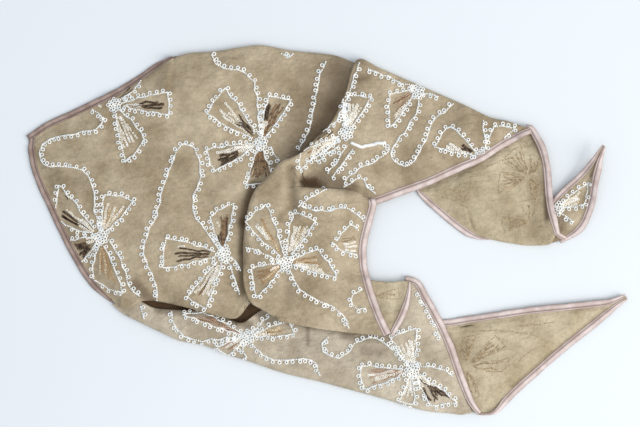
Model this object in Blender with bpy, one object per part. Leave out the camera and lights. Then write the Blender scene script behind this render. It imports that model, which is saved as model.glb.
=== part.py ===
"""A beaded triangular headscarf, folded and laid on a table.

The scarf is one right-angled triangle of soft cloth with a bias binding on all three edges. It lies
with its corner for the back of the head at the left and its two tails at the right. Each stretch
of cloth that shows is a wall lofted through sections: a section runs across the stretch from its
start to its end, and a wall's far side rolls under where the cloth is folded there.

Layout places are in mm on the table: across, to the right, and down, towards the viewer.
"""

import math
from collections import namedtuple

import bpy
from mathutils import Vector
from mathutils.bvhtree import BVHTree

MM = 0.001
CENTRE = (327.4, 230.0)  # the layout place that becomes x = 0, y = 0

CLOTH = 1.2  # thickness of the cloth wall
GAP = 0.35  # air between two pieces that lie on each other
BINDING_WIDTH = 7.0
BINDING_THICK = 2.2
NARROWING = 24.0  # how far from its end a tape begins to narrow
FLAT_EDGE = 4.0  # strip beside a bound edge that stays flat
WIDEST_ROLL = 16.0  # longest strip of cloth that turns under at a fold
FALL_REACH = 34.0  # how far in from its edge a stretch reaches its middle height
STEP_HEIGHT = 1.5  # one step of the hidden layers at their rim
STEP_WIDTH = 6.0

TAN = (0.46, 0.37, 0.26, 1.0)
TAN_BACK = (0.50, 0.41, 0.29, 1.0)
PINK = (0.47, 0.33, 0.27, 1.0)

# start, end: the two ends of a section. height: at its start, middle and end.
# turn: degrees that the cloth rolls under beyond its start and end, 0 at a bound edge.
# middle: a place that the section passes through. bend: how far it snakes to each side of that.
Section = namedtuple("Section", "start end height turn middle bend", defaults=((0, 0), None, 0))
# A soft fold along a line: how much it lifts the cloth, and how far to each side.
Crease = namedtuple("Crease", "start end rise spread")

BODY = (
    Section((35, 137), (34, 150), (1.5, 1.8, 1.5)),
    Section((50, 127), (39, 173), (1.5, 3.0, 1.5)),
    Section((70, 118), (54, 207), (1.5, 4.5, 1.5)),
    Section((95, 106), (69, 239), (2.0, 6.0, 1.5)),
    Section((121, 93), (89, 274), (4.0, 8.0, 1.5), (10, 0)),
    Section((147, 76), (113, 298), (6.0, 9.5, 1.8), (25, 0)),
    Section((167, 62), (127, 308), (7.0, 10.5, 4.0), (40, 90)),
    Section((188, 54), (146, 300), (7.0, 11.0, 7.5), (180, 150)),
    Section((215, 52), (180, 305), (7.0, 11.5, 9.0), (180, 180)),
    Section((240, 48), (210, 313), (7.0, 11.0, 10.0), (180, 180)),
    Section((262, 46), (234, 317), (7.0, 10.0, 12.0), (180, 150)),
    Section((290, 51), (252, 301), (7.0, 9.0, 13.0), (180, 60)),
    Section((320, 54), (262, 294), (7.0, 8.0, 11.0), (180, 0)),
    Section((338, 57), (268, 290), (7.0, 7.5, 9.0), (180, 0)),
    Section((360, 74), (276, 285), (4.0, 7.0, 8.0)),
)

UPPER_TAIL = (
    Section((287, 160), (288, 186), (20.0, 12.0, 8.0), (180, 0)),
    Section((303, 152), (297, 190), (21.0, 10.0, 6.0), (180, 0)),
    Section((320, 140), (307, 193), (20.0, 12.0, 6.0), (180, 0)),
    Section((337, 122), (316, 196), (18.0, 14.0, 7.5), (180, 0)),
    Section((348, 95), (331, 202), (16.0, 14.0, 9.0), (180, 0)),
    Section((357, 61), (350, 205), (13.0, 14.0, 9.0), (170, 0)),
    Section((380, 69), (374, 198), (9.0, 13.0, 7.0), (180, 0)),
    Section((410, 82), (399, 189), (8.0, 12.0, 7.5), (180, 0)),
    Section((440, 95), (429, 178), (8.0, 12.0, 9.0), (180, 0)),
    Section((465, 106), (455, 166), (8.0, 12.0, 9.0), (180, 0)),
    Section((490, 118), (478, 156), (8.0, 11.0, 9.0), (180, 0)),
    Section((508, 122), (502, 141), (7.5, 9.0, 6.0), (180, 0)),
    Section((528, 129), (523, 131), (7.0, 7.0, 6.0)),
)

FRONT_FOLD = (
    Section((297, 155), (304, 173), (23.0, 19.0, 14.0), (180, 60)),
    Section((282, 162), (301, 184), (22.0, 21.0, 17.0), (180, 120)),
    Section((268, 178), (306, 187), (20.0, 20.0, 17.0), (180, 150)),
    Section((258, 187), (330, 186), (19.0, 19.0, 18.0), (180, 150)),
    Section((252, 198), (357, 189), (18.0, 19.0, 16.0), (180, 120)),
    Section((249, 208), (369, 202), (18.0, 18.0, 13.0), (180, 0)),
    Section((246, 225), (365, 221), (17.0, 18.0, 9.0), (170, 0)),
    Section((244, 245), (360, 243), (16.0, 17.0, 7.0), (150, 0)),
    Section((244, 265), (360, 263), (15.5, 16.0, 7.0), (100, 0)),
    Section((245, 285), (364, 283), (15.5, 15.0, 8.0), (60, 0)),
    Section((252, 302), (371, 305), (16.0, 14.0, 9.0), (60, 0), (308, 306)),
    Section((268, 312), (377, 320), (16.0, 13.0, 9.5), (90, 0), (316, 320)),
)
FRONT_LOWER_FOLD = Section((280, 320), (384, 335), (16.0, 11.0, 9.5), (90, 0), (325, 329))

TURN = (
    Section((410, 184), (420, 191), (1.6, 1.6, 1.6)),
    Section((425, 176), (440, 208), (1.6, 2.5, 1.6)),
    Section((440, 169), (458, 223), (1.6, 5.0, 1.6)),
    Section((455, 163), (476, 235), (1.6, 6.0, 2.4), (0, 15)),
    Section((470, 155), (495, 240), (1.6, 6.5, 5.0), (0, 170)),
    Section((485, 147), (511, 243), (1.6, 7.0, 6.0), (0, 180)),
    Section((498, 141), (526, 245), (2.5, 7.0, 7.0), (0, 180)),
    Section((509, 137), (538, 245), (3.5, 7.5, 8.0), (0, 180), (525, 190), 1),
    Section((520, 134), (547, 244), (4.5, 8.0, 8.5), (0, 150), (538, 185), 2),
    Section((529, 131), (553, 239), (5.5, 10.0, 8.5), (0, 60), (546, 181), 3),
)

UPPER_TIP = (
    Section((540, 244), (541, 207), (2.4, 1.8, 1.6)),
    Section((555, 242), (551, 202), (2.6, 2.2, 2.8)),
    Section((566, 236), (559, 196), (2.0, 3.0, 4.0)),
    Section((574, 230), (567, 189), (3.0, 4.0, 5.0)),
    Section((581, 221), (574, 183), (4.5, 4.5, 6.5)),
    Section((586, 209), (580, 178), (6.5, 5.5, 8.0)),
    Section((589, 196), (586, 172), (9.0, 7.0, 9.5)),
    Section((590.5, 182), (588.5, 169), (11.0, 9.0, 11.0)),
    Section((592, 171), (590, 168), (12.5, 11.5, 12.5)),
    Section((595, 160), (593, 159), (14.0, 13.5, 14.0)),
    Section((600, 148), (598.5, 147), (15.0, 15.0, 15.0)),
)

PLEAT_RETURN = (
    Section((352, 281), (352, 314), (9.0, 5.0, 5.0), (180, 0)),
    Section((365, 280), (362, 320), (9.0, 6.5, 5.0), (180, 0)),
    Section((378, 281), (371, 326), (10.0, 8.0, 5.0), (180, 0)),
    Section((390, 282), (379, 330), (10.5, 9.0, 5.5), (180, 0)),
    Section((400, 281), (385, 332), (10.5, 9.5, 6.0), (180, 0), (396, 304)),
    Section((408, 281), (389, 333), (10.0, 9.5, 6.0), (90, 0), (403, 304)),
)

LOWER_TAIL = (
    Section((121, 311), (128, 302), (2.5, 2.5, 2.0)),
    Section((140, 321), (140, 301), (4.5, 5.0, 5.0), (150, 150)),
    Section((160, 331), (155, 308), (6.0, 7.5, 7.0), (180, 180)),
    Section((180, 340), (180, 310), (7.0, 8.5, 8.0), (180, 180)),
    Section((205, 345), (205, 311), (7.0, 8.5, 8.0), (180, 180)),
    Section((228, 354), (226, 318), (7.0, 8.5, 8.0), (180, 160)),
    Section((250, 361), (243, 325), (7.0, 8.5, 7.5), (180, 60)),
    Section((270, 368), (262, 310), (7.0, 8.0, 2.5), (180, 0)),
    Section((290, 374), (290, 305), (7.0, 8.0, 2.5), (180, 0)),
    Section((320, 381), (325, 310), (7.0, 8.0, 2.5), (180, 0)),
    Section((350, 389), (354, 300), (7.0, 8.5, 2.5), (180, 0)),
    Section((380, 397), (385, 284), (7.0, 9.0, 3.0), (180, 0)),
    Section((400, 403), (412, 283), (7.0, 9.5, 3.5), (180, 0)),
    Section((417, 408), (422, 298), (7.0, 9.5, 4.0), (180, 0)),
    Section((430, 411), (431, 314), (6.5, 9.0, 4.5), (180, 0)),
    Section((442, 412), (441, 333), (6.5, 8.5, 4.2), (180, 0)),
    Section((452, 413), (449, 353), (6.0, 8.0, 4.0), (180, 0)),
    Section((460, 414), (457, 376), (6.0, 7.0, 4.0), (170, 0)),
    Section((467, 413), (464, 394), (6.0, 6.0, 4.0), (120, 0)),
    Section((471, 412), (469, 404), (5.5, 5.0, 4.5)),
)

LOWER_TIP = (
    Section((436, 326), (468, 410), (1.5, 1.5, 1.5), (0, 60), (450, 362)),
    Section((452, 325), (483, 414), (1.7, 2.0, 2.5), (0, 120), (464, 364)),
    Section((470, 322), (494, 410), (2.5, 4.0, 1.8), (0, 60), (479, 362)),
    Section((490, 319), (504, 398), (3.5, 5.5, 1.5)),
    Section((510, 316), (518, 384), (4.0, 5.5, 1.5)),
    Section((530, 313), (535, 369), (4.5, 5.0, 1.5)),
    Section((550, 311), (552, 354), (5.0, 4.5, 1.5)),
    Section((570, 309), (570, 339), (5.0, 4.5, 2.0)),
    Section((590, 307), (589, 324), (5.0, 4.0, 2.5)),
    Section((605, 305), (606, 310), (4.5, 4.0, 3.5)),
    Section((616, 301), (617, 302.5), (4.2, 4.0, 3.8)),
    Section((625, 296), (626, 297.5), (4.0, 4.0, 4.0)),
)

# The inside of the pleat, which shows as a dark valley under the edge of the body.
PLEAT_FLOOR = (
    Section((128, 288), (133, 312), (0.6, 0.6, 0.6)),
    Section((160, 292), (160, 318), (0.6, 0.6, 0.6)),
    Section((200, 296), (200, 322), (0.6, 0.6, 0.6)),
    Section((230, 301), (230, 330), (0.6, 0.6, 0.6)),
    Section((256, 302), (256, 336), (0.6, 0.6, 0.6)),
    Section((284, 304), (284, 338), (0.6, 0.6, 0.6)),
)

# Where the hidden layers under the body and the front fold begin and end, station by station.
HIDDEN_LAYERS = (
    Section((118, 118), (112, 270), (0, 0, 0)),
    Section((140, 96), (130, 280), (0, 0, 0)),
    Section((170, 78), (155, 284), (0, 0, 0)),
    Section((200, 72), (190, 288), (0, 0, 0)),
    Section((240, 68), (232, 292), (0, 0, 0)),
    Section((275, 66), (265, 292), (0, 0, 0)),
    Section((308, 70), (300, 290), (0, 0, 0)),
    Section((330, 80), (326, 288), (0, 0, 0)),
    Section((346, 112), (342, 282), (0, 0, 0)),
)

BODY_CREASES = (
    Crease((60, 180), (150, 240), 1.5, 16.0),
    Crease((120, 130), (215, 215), -2.5, 14.0),
    Crease((185, 90), (235, 175), 2.0, 14.0),
    Crease((170, 240), (240, 290), 1.8, 16.0),
)
UPPER_TAIL_CREASES = (
    Crease((312, 178), (345, 130), -3.0, 8.0),
    Crease((380, 110), (440, 165), 1.8, 12.0),
    Crease((430, 110), (470, 150), -2.0, 9.0),
)
FRONT_FOLD_CREASES = (
    Crease((290, 165), (292, 215), -4.0, 6.0),
    Crease((262, 220), (275, 290), 2.0, 10.0),
    Crease((300, 230), (355, 300), -2.0, 10.0),
)
TURN_CREASES = (
    Crease((470, 180), (515, 225), 2.0, 10.0),
    Crease((505, 165), (530, 215), -1.8, 8.0),
)
LOWER_TAIL_CREASES = (
    Crease((290, 330), (380, 370), -2.0, 10.0),
    Crease((380, 320), (440, 395), 1.6, 12.0),
)
LOWER_TIP_CREASES = (Crease((468, 330), (550, 343), 2.0, 7.0),)


def clear_scene():
    for item in list(bpy.data.objects):
        bpy.data.objects.remove(item, do_unlink=True)


def material(name, colour, roughness):
    made = bpy.data.materials.new(name)
    made.use_nodes = True
    shader = made.node_tree.nodes["Principled BSDF"]
    shader.inputs["Base Color"].default_value = colour
    shader.inputs["Roughness"].default_value = roughness
    shader.inputs["Metallic"].default_value = 0.0
    made.diffuse_color = colour
    return made


def to_table(place):
    """A layout place in the part's own frame, still in mm."""
    return Vector((place[0] - CENTRE[0], CENTRE[1] - place[1]))


def smooth(values, at):
    """The value at row number `at` of a smooth curve through all the rows."""
    row = min(int(at), len(values) - 2)
    f = at - row
    before = values[max(row - 1, 0)]
    here = values[row]
    after = values[row + 1]
    beyond = values[min(row + 2, len(values) - 1)]
    slope_in = (after - before) * 0.5
    slope_out = (beyond - here) * 0.5
    return (
        here * (1 + f * f * (2 * f - 3))
        + after * (f * f * (3 - 2 * f))
        + slope_in * (f * (1 - f) ** 2)
        - slope_out * (f * f * (1 - f))
    )


class Rows:
    """A table of sections, read at any place between its rows."""

    def __init__(self, sections):
        self.count = len(sections)
        self.start = [to_table(s.start) for s in sections]
        self.end = [to_table(s.end) for s in sections]
        self.middle = [
            to_table(s.middle) if s.middle else (to_table(s.start) + to_table(s.end)) * 0.5
            for s in sections
        ]
        self.heights = [Vector(s.height) for s in sections]
        self.turns = [Vector(s.turn) for s in sections]
        self.bends = [float(s.bend) for s in sections]

    def at(self, share):
        """The section at this share, 0 to 1, of the way from the first row to the last."""
        place = share * (self.count - 1)
        line = [smooth(part, place) for part in (self.start, self.middle, self.end, self.bends)]
        return line, smooth(self.heights, place), smooth(self.turns, place)


def across(line, share):
    """A point of the curve from a section's start through its middle to its end."""
    start, middle, end, bend = line
    aside = Vector((start.y - end.y, end.x - start.x)).normalized()
    return (
        start * ((1 - share) * (1 - 2 * share))
        + middle * (4 * share * (1 - share))
        + end * (share * (2 * share - 1))
        + aside * (bend * math.sin(2 * math.pi * share))
    )


class Stack:
    """The solids laid so far, for finding the height of what lies below a place."""

    def __init__(self):
        self.trees = {}

    def add(self, name, points, faces):
        self.trees[name] = BVHTree.FromPolygons(points, faces)

    def top(self, place, names, reach=0.0):
        """Height of the highest of these solids within reach of a place, or 0 for the table."""
        steps = (-1, 0, 1) if reach else (0,)
        best = 0.0
        for name in names:
            for i in steps:
                for j in steps:
                    above = Vector((place.x + i * reach, place.y + j * reach, 200.0))
                    hit = self.trees[name].ray_cast(above, Vector((0, 0, -1)))[0]
                    if hit:
                        best = max(best, hit.z)
        return best

    def underside(self, place, names, reach, open_height):
        """Height of the lowest of these solids over a place, or open_height where none is."""
        found = []
        for i in (-1, -0.5, 0, 0.5, 1):
            for j in (-1, -0.5, 0, 0.5, 1):
                below = Vector((place.x + i * reach, place.y + j * reach, -5.0))
                hits = [self.trees[n].ray_cast(below, Vector((0, 0, 1)))[0] for n in names]
                hits = [hit.z for hit in hits if hit]
                found.append(min(hits) if hits else open_height)
        return min(found)


def roll(length, turn, steps):
    """Points of a strip that turns down beyond its edge, as (outwards, downwards) pairs."""
    made = []
    for step in range(steps + 1):
        run = length * step / steps
        if turn < 0.02:
            made.append((run, 0.0))
        else:
            radius = length / turn
            angle = run / radius
            made.append((radius * math.sin(angle), radius * (1 - math.cos(angle))))
    return made


def edge_strip(height, floor, degrees, room):
    """The strip beyond one end of a section: its points, and how far it reaches out."""
    turn = math.radians(max(degrees, 0.0))
    if turn < 0.1:
        points = roll(min(FLAT_EDGE, room), 0.0, 3)
    else:
        hang = BINDING_WIDTH * math.sin(turn) if turn < 1.6 else 0.0
        drop = max(height - floor - hang - CLOTH / 2, 0.5)
        length = min(drop * turn / (1 - math.cos(turn)), WIDEST_ROLL, room)
        points = roll(length, turn, 3)
    return points, max(out for out, down in points)


def crease_lift(place, creases):
    lift = 0.0
    for crease in creases:
        start = to_table(crease.start)
        line = to_table(crease.end) - start
        along = (place - start).dot(line) / line.length_squared
        near = start + line * min(max(along, 0.0), 1.0)
        away = (place - near).length / crease.spread
        lift += crease.rise * math.exp(-away * away)
    return lift


def fall(share):
    """From 1 at an edge down to 0 where the middle height is reached, steepest at the edge."""
    return (1 - share) ** 2 if share < 1 else 0.0


def laid_grid(rows, row_count, column_count, creases, below, stack):
    """The middle surface of a stretch as rows of points, laid on the solids named in below."""
    grid = []
    for r in range(row_count):
        section, heights, turns = rows.at(r / (row_count - 1))
        start = section[0]
        end = section[2]
        width = (end - start).length
        first = (across(section, 0.05) - start).normalized()
        last = (end - across(section, 0.95)).normalized()
        edges = []
        for place, inwards, height, turn in (
            (start, first, heights[0], turns[0]),
            (end, -last, heights[2], turns[1]),
        ):
            floor = max(stack.top(place + inwards * run, below, 4.0) for run in (-3, 4, 9))
            lift = GAP if floor else 0.0
            least = floor + lift + (BINDING_THICK / 2 if turn < 45 else CLOTH / 2 + 3.0)
            if turn > 45 and not floor:
                least = 0.0
            height = max(height, least)
            points, reach = edge_strip(height, floor + lift, turn, width * 0.3)
            edges.append((place, inwards, height, points, reach))
        (_, first, start_z, start_strip, start_reach) = edges[0]
        (_, last, end_z, end_strip, end_reach) = edges[1]
        line = []
        for out, down in reversed(start_strip[1:]):
            spot = start + first * (start_reach - out)
            line.append(Vector((spot.x, spot.y, start_z - down)))
        fall_reach = min(FALL_REACH, width * 0.5)
        for c in range(column_count):
            run = start_reach + (width - start_reach - end_reach) * c / (column_count - 1)
            spot = across(section, run / width)
            from_start = (run - start_reach) / fall_reach
            from_end = (width - end_reach - run) / fall_reach
            z = (
                heights[1]
                + (start_z - heights[1]) * fall(from_start)
                + (end_z - heights[1]) * fall(from_end)
            )
            fade = min(from_start, from_end, 0.4) / 0.4
            z += crease_lift(spot, creases) * max(fade, 0.0)
            under = stack.top(spot, below, 5.0)
            if under:
                z = max(z, under + GAP + CLOTH / 2)
            line.append(Vector((spot.x, spot.y, max(z, CLOTH / 2))))
        for out, down in end_strip[1:]:
            spot = end + last * (end_reach - out)
            line.append(Vector((spot.x, spot.y, end_z - down)))
        grid.append(line)
    return grid


def grid_normal(grid, r, c):
    rows = len(grid)
    columns = len(grid[0])
    along = grid[min(r + 1, rows - 1)][c] - grid[max(r - 1, 0)][c]
    over = grid[r][min(c + 1, columns - 1)] - grid[r][max(c - 1, 0)]
    return along.cross(over).normalized()


def wall_from_grid(grid, thickness):
    """A closed wall of this thickness about a grid of points, resting at or above the table."""
    rows = len(grid)
    columns = len(grid[0])
    facing = sum(grid_normal(grid, r, columns // 2).z for r in range(rows))
    side = 1.0 if facing > 0 else -1.0
    upper = []
    lower = []
    for r in range(rows):
        for c in range(columns):
            normal = grid_normal(grid, r, c) * side
            for face, sign in ((upper, 1), (lower, -1)):
                point = grid[r][c] + normal * (sign * thickness / 2)
                point.z = max(point.z, 0.0)
                face.append(point)
    points = upper + lower
    below = rows * columns
    faces = []

    def quad(a, b, c, d):
        faces.append((a, b, c, d) if side > 0 else (d, c, b, a))

    for r in range(rows - 1):
        for c in range(columns - 1):
            a = r * columns + c
            b = a + columns
            quad(a, b, b + 1, a + 1)
            quad(below + a, below + a + 1, below + b + 1, below + b)
    for r in range(rows - 1):
        a = r * columns
        b = a + columns
        quad(b, a, below + a, below + b)
        a += columns - 1
        b += columns - 1
        quad(a, b, below + b, below + a)
    for c in range(columns - 1):
        a = c
        quad(a, a + 1, below + a + 1, below + a)
        a = (rows - 1) * columns + c
        quad(a + 1, a, below + a, below + a + 1)
    return points, faces


def binding_profile():
    """Half of a folded tape across its width: (outwards, upwards) pairs, all the way round."""
    half = BINDING_THICK / 2
    return (
        (GAP, half * 0.6),
        (BINDING_WIDTH * 0.3, half),
        (BINDING_WIDTH * 0.85, half * 0.9),
        (BINDING_WIDTH, 0.0),
        (BINDING_WIDTH * 0.85, -half * 0.9),
        (BINDING_WIDTH * 0.3, -half),
        (GAP, -half * 0.6),
    )


def edge_path(grid, side, first=0.0, last=1.0):
    """Edge points of a grid, each with a point inside it, between two shares of the rows."""
    rows = len(grid)
    low = math.ceil(first * (rows - 1))
    high = math.floor(last * (rows - 1)) + 1
    if side == "start":
        return [(line[0], line[1]) for line in grid[low:high]]
    if side == "end":
        return [(line[-1], line[-2]) for line in grid[low:high]]
    if side == "first row and end":
        pairs = list(zip(grid[0][1:-1:3], grid[1][1:-1:3])) + [(grid[0][-1], grid[1][-3])]
        return pairs + [(line[-1], line[-2]) for line in grid[1:high]]
    pairs = list(zip(grid[-1], grid[-2]))
    return pairs[round(first * (len(pairs) - 1)) : round(last * (len(pairs) - 1)) + 1]


def outward(pairs, s):
    """Which way is out of the panel at a station: the mean of the stations about it."""
    return sum(((at - inner).normalized() for at, inner in pairs[max(s - 1, 0) : s + 2]), Vector((0, 0, 0)))


def binding_solid(pairs, narrow, below, stack):
    """A tape along an edge, made from the edge's own points moved out beyond it.

    Over its last stations the tape narrows to this share of its width."""
    profile = binding_profile()
    stations = len(pairs)
    rings = []
    for s, (at, _) in enumerate(pairs):
        along = (pairs[min(s + 1, stations - 1)][0] - pairs[max(s - 1, 0)][0]).normalized()
        out = outward(pairs, s)
        out = (out - along * out.dot(along)).normalized()
        up = along.cross(out).normalized()
        if up.z < 0:
            up = -up
        from_end = (pairs[-1][0] - at).length
        wide = 1 - (1 - narrow) * max(0.0, 1 - from_end / NARROWING)
        ring = [at + out * (o * wide) + up * u for o, u in profile]
        lift = max(0.0, -min(point.z for point in ring))
        for point in ring:
            floor = stack.top(point, below, 1.5)
            if floor:
                lift = max(lift, floor + GAP - point.z)
        rings.append([point + Vector((0, 0, lift)) for point in ring])
    count = len(profile)
    points = [point for ring in rings for point in ring]
    faces = []
    for s in range(stations - 1):
        for k in range(count):
            a = s * count + k
            b = s * count + (k + 1) % count
            faces.append((a, b, b + count, a + count))
    faces.append(tuple(range(count))[::-1])
    faces.append(tuple(range(len(points) - count, len(points))))
    return points, faces


def hidden_solid(rows, row_count, column_count, above, stack):
    """The rounded heap of turned-under cloth: stepped at its rim and flat where it rests."""
    top = []
    for r in range(row_count):
        section, _, _ = rows.at(r / (row_count - 1))
        line = []
        width = (section[2] - section[0]).length
        runs = [0, STEP_WIDTH * 0.9, STEP_WIDTH, STEP_WIDTH * 1.9, STEP_WIDTH * 2]
        inner = width - 2 * runs[-1]
        runs += [runs[-1] + inner * c / (column_count - 1) for c in range(1, column_count)]
        runs += [width - run for run in (STEP_WIDTH * 1.9, STEP_WIDTH, STEP_WIDTH * 0.9, 0)]
        for run in runs:
            spot = across(section, run / width)
            rim = min(run, width - run)
            from_ends = min(r, row_count - 1 - r)
            steps = 1
            if rim >= STEP_WIDTH:
                steps = 2 if rim < 2 * STEP_WIDTH else 9
            steps = min(steps, 1 + from_ends)
            z = stack.underside(spot, above, 8.0, STEP_HEIGHT + GAP) - GAP
            line.append(Vector((spot.x, spot.y, max(min(z, steps * STEP_HEIGHT), 0.6))))
        top.append(line)
    rows_made = len(top)
    columns = len(top[0])
    points = [p for line in top for p in line]
    points += [Vector((p.x, p.y, 0.0)) for line in top for p in line]
    base = rows_made * columns
    faces = []
    for r in range(rows_made - 1):
        for c in range(columns - 1):
            a = r * columns + c
            b = a + columns
            faces.append((a, b, b + 1, a + 1))
            faces.append((base + a, base + a + 1, base + b + 1, base + b))
    for r in range(rows_made - 1):
        for c, flip in ((0, False), (columns - 1, True)):
            a = r * columns + c
            b = a + columns
            side = (b, a, base + a, base + b)
            faces.append(side[::-1] if flip else side)
    for c in range(columns - 1):
        for r, flip in ((0, False), (rows_made - 1, True)):
            a = r * columns + c
            side = (a, a + 1, base + a + 1, base + a)
            faces.append(side[::-1] if flip else side)
    return points, faces


def add_object(name, points, faces, look, collection):
    mesh = bpy.data.meshes.new(name)
    mesh.from_pydata([p * MM for p in points], [], faces)
    volume = sum(
        points[f[0]].dot(points[f[i]].cross(points[f[i + 1]]))
        for f in faces
        for i in range(1, len(f) - 1)
    )
    if volume < 0:
        mesh.flip_normals()
    for polygon in mesh.polygons:
        polygon.use_smooth = True
    mesh.materials.append(look)
    item = bpy.data.objects.new(name, mesh)
    collection.objects.link(item)
    return item


def build():
    clear_scene()
    collection = bpy.data.collections.new("Headscarf")
    bpy.context.scene.collection.children.link(collection)
    stack = Stack()
    grids = {}

    def stretch(name, sections, size, creases, below, colour=TAN):
        grid = laid_grid(Rows(sections), size[0], size[1], creases, below, stack)
        points, faces = wall_from_grid(grid, CLOTH)
        add_object(name, points, faces, material(name, colour, 0.75), collection)
        stack.add(name, points, faces)
        grids[name] = grid

    def binding(name, panel, side, below=(), part=(0.0, 1.0), narrow=1.0):
        pairs = edge_path(grids[panel], side, *part)
        points, faces = binding_solid(pairs, narrow, below, stack)
        add_object(name, points, faces, material(name, PINK, 0.6), collection)
        stack.add(name, points, faces)

    stretch("lower_tail_tip", LOWER_TIP, (14, 6), LOWER_TIP_CREASES, (), TAN_BACK)
    binding("binding_lower_tip_upper", "lower_tail_tip", "start", narrow=0.5)
    binding("binding_lower_tip_outer", "lower_tail_tip", "end", (), (0.2, 1.0), 0.5)
    tip = ("lower_tail_tip", "binding_lower_tip_upper", "binding_lower_tip_outer")
    stretch("pleat_floor", PLEAT_FLOOR, (6, 3), (), ())
    tip += ("pleat_floor",)
    stretch("lower_tail", LOWER_TAIL, (30, 6), LOWER_TAIL_CREASES, tip)
    binding("binding_lower_front", "lower_tail", "end", tip, (0.64, 0.97))
    lower = ("lower_tail", "binding_lower_front", "pleat_floor")
    stretch("pleat_return", PLEAT_RETURN, (8, 5), (), lower, TAN_BACK)
    binding("binding_pleat", "pleat_return", "last row", lower, (0.3, 1.0))
    stretch("body", BODY, (22, 10), BODY_CREASES, lower)
    binding("binding_back_upper", "body", "start", (), (0.0, 0.46), 0.3)
    binding("binding_back_lower", "body", "first row and end", (), (0.0, 0.36), 0.4)

    stretch("upper_tail_tip", UPPER_TIP, (12, 5), (), ())
    binding("binding_tip_inner", "upper_tail_tip", "end", (), (0.1, 1.0), 0.5)
    binding("binding_tip_outer", "upper_tail_tip", "start", (), (0.15, 1.0), 0.6)
    tip = ("upper_tail_tip", "binding_tip_inner", "binding_tip_outer")
    stretch("upper_tail_turn", TURN, (14, 6), TURN_CREASES, tip, TAN_BACK)
    binding("binding_turn_inner", "upper_tail_turn", "end", tip, (0.0, 0.31), 0.4)
    binding("binding_turn_outer", "upper_tail_turn", "last row", tip, (0.0, 0.9))
    turn = ("upper_tail_turn", "binding_turn_inner", "binding_turn_outer")
    stretch("upper_tail", UPPER_TAIL, (20, 7), UPPER_TAIL_CREASES, ("body",) + turn)
    binding("binding_front_upper", "upper_tail", "end", ("body",) + turn, (0.4, 0.95), 0.4)
    below = ("body", "upper_tail", "binding_front_upper", "pleat_return", "binding_pleat") + lower
    front = FRONT_FOLD + (FRONT_LOWER_FOLD,)
    stretch("front_fold", front, (20, 8), FRONT_FOLD_CREASES, below)
    binding("binding_front_middle", "front_fold", "end", below, (0.42, 1.0))

    above = ("lower_tail", "pleat_return", "body", "upper_tail", "front_fold")
    points, faces = hidden_solid(Rows(HIDDEN_LAYERS), 12, 8, above, stack)
    add_object("hidden_layers", points, faces, material("hidden_layers", TAN, 0.8), collection)


build()
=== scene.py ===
"""The looks of the beaded headscarf: cloth, binding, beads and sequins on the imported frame.

Layout places are in mm on the table, as in the part: across, to the right, and down, towards the
viewer. The camera looks straight down on the same layout.
"""

import math
from collections import namedtuple

import bpy
from mathutils import Matrix, Vector, noise
from mathutils.bvhtree import BVHTree


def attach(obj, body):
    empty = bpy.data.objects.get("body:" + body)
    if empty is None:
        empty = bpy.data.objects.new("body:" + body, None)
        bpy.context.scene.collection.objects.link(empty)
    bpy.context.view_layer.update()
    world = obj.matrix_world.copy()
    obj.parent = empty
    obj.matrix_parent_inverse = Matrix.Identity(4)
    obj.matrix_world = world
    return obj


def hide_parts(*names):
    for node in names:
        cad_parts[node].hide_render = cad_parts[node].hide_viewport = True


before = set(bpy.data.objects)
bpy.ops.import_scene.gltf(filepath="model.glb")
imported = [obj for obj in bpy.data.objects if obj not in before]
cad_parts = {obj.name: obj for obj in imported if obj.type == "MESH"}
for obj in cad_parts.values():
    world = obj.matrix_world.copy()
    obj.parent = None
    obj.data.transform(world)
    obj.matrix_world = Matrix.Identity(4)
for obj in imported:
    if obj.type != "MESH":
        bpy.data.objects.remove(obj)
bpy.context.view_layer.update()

MM = 0.001
CENTRE = (327.4, 230.0)  # the layout place at x = 0, y = 0
VIEW = (640.0, 427.0)  # the layout that the camera frames

CLOTH = 0.8  # thickness of the cloth
GAP = 0.35  # air between a piece and what it lies on
BINDING_WIDTH = 7.0
BINDING_HALF = 1.1  # half the thickness of the folded tape
NARROWING = 24.0  # how far from its end a tape begins to narrow
TAPE_STEP = 1.6  # along a tape, from one ring of its mesh to the next
FLAT_EDGE = 4.0
WIDEST_ROLL = 16.0
FALL_REACH = 34.0  # how far inwards an edge's height still shows
CELL = 2.2  # side of the cloth's mesh cells
ROLL_STEPS = 6
HIGH_ABOVE = 200.0  # where the rays start that look for the top sheet

PICOT_STEP = 5.6  # from one bead ring to the next
PICOT_RADIUS = 1.5
PICOT_THICK = 0.62
BEAD_STEP = 1.6
BEAD_RADIUS = 0.8
HEART_RINGS = 20
CORD = 2.2  # how much thicker a cord is than a line of beads
LINE_BEND = 0.9  # how far a sewn line strays from its drawn path
LINE_GAP = 0.95  # between lines of a filling that lie side by side
LINE_STEP = 1.8
STITCH_STEP = 1.9
STEEPEST = 0.12  # the least upward part of the normal where pieces are still sewn on

# The rows of a stretch of cloth: the start and the end across it, the heights at the start, in the
# middle and at the end, how many degrees its two edges roll over, and the middle and the sideways
# bend of a row that isn't straight.
Section = namedtuple("Section", "start end height turn middle bend", defaults=((0, 0), None, 0))
# A petal is the two corners of its far end, and what is sewn along each line from one side to the other.
Flower = namedtuple("Flower", "sheet centre petals")
Fill = namedtuple("Fill", "kind low high lines step")
Kind = namedtuple("Kind", "shape look lift")
Panel = namedtuple("Panel", "name sections below look slot nodes rests_on seed tapes", defaults=((),))
# The part is the share of the edge that a tape follows, and it narrows to these shares of its width
# at its two ends. It is led on to further places before its first point and after its last one.
Tape = namedtuple("Tape", "name side below part narrow wide look lead trail drop",
                  defaults=((), (0.0, 1.0), (1.0, 1.0), 1.0, "binding", (), (), 0.0))

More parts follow.
